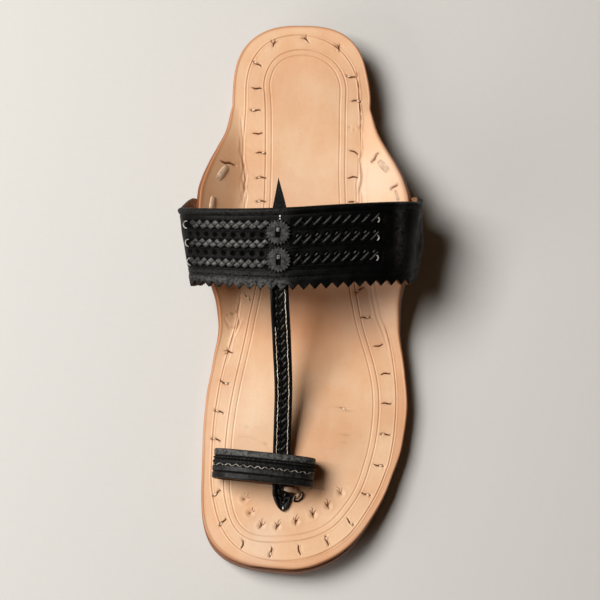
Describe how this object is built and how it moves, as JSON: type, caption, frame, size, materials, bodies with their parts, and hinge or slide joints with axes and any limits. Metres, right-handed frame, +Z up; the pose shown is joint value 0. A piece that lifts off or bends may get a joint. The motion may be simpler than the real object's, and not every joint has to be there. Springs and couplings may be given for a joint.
{
  "type": "toe loop sandal",
  "caption": "Flat leather slip-on sandal for the left foot with upturned side ears, a braided instep band, a centre strap and a loop for the big toe.",
  "frame": {"origin": "on the floor under the middle of the sandal's bounding box", "axes": "+Z up, +Y towards the heel, -Y towards the toes, -X to the big-toe side"},
  "size_m": [0.1233, 0.2798, 0.0709],
  "materials": {
    "tan_leather": "smooth vegetable tanned, satin",
    "sole_leather": "pressed sole leather, waxed edge",
    "heel_leather": "stacked sole leather, waxed edge",
    "black_leather": "black dyed, softly polished"
  },
  "bodies": {
    "root": {"top_sole": "tan_leather", "outsole": "sole_leather", "heel_lift": "heel_leather", "instep_band": "black_leather", "centre_strap": "black_leather", "toe_loop": "black_leather", "rosette_back": "black_leather", "rosette_front": "black_leather"}
  },
  "joints": []
}
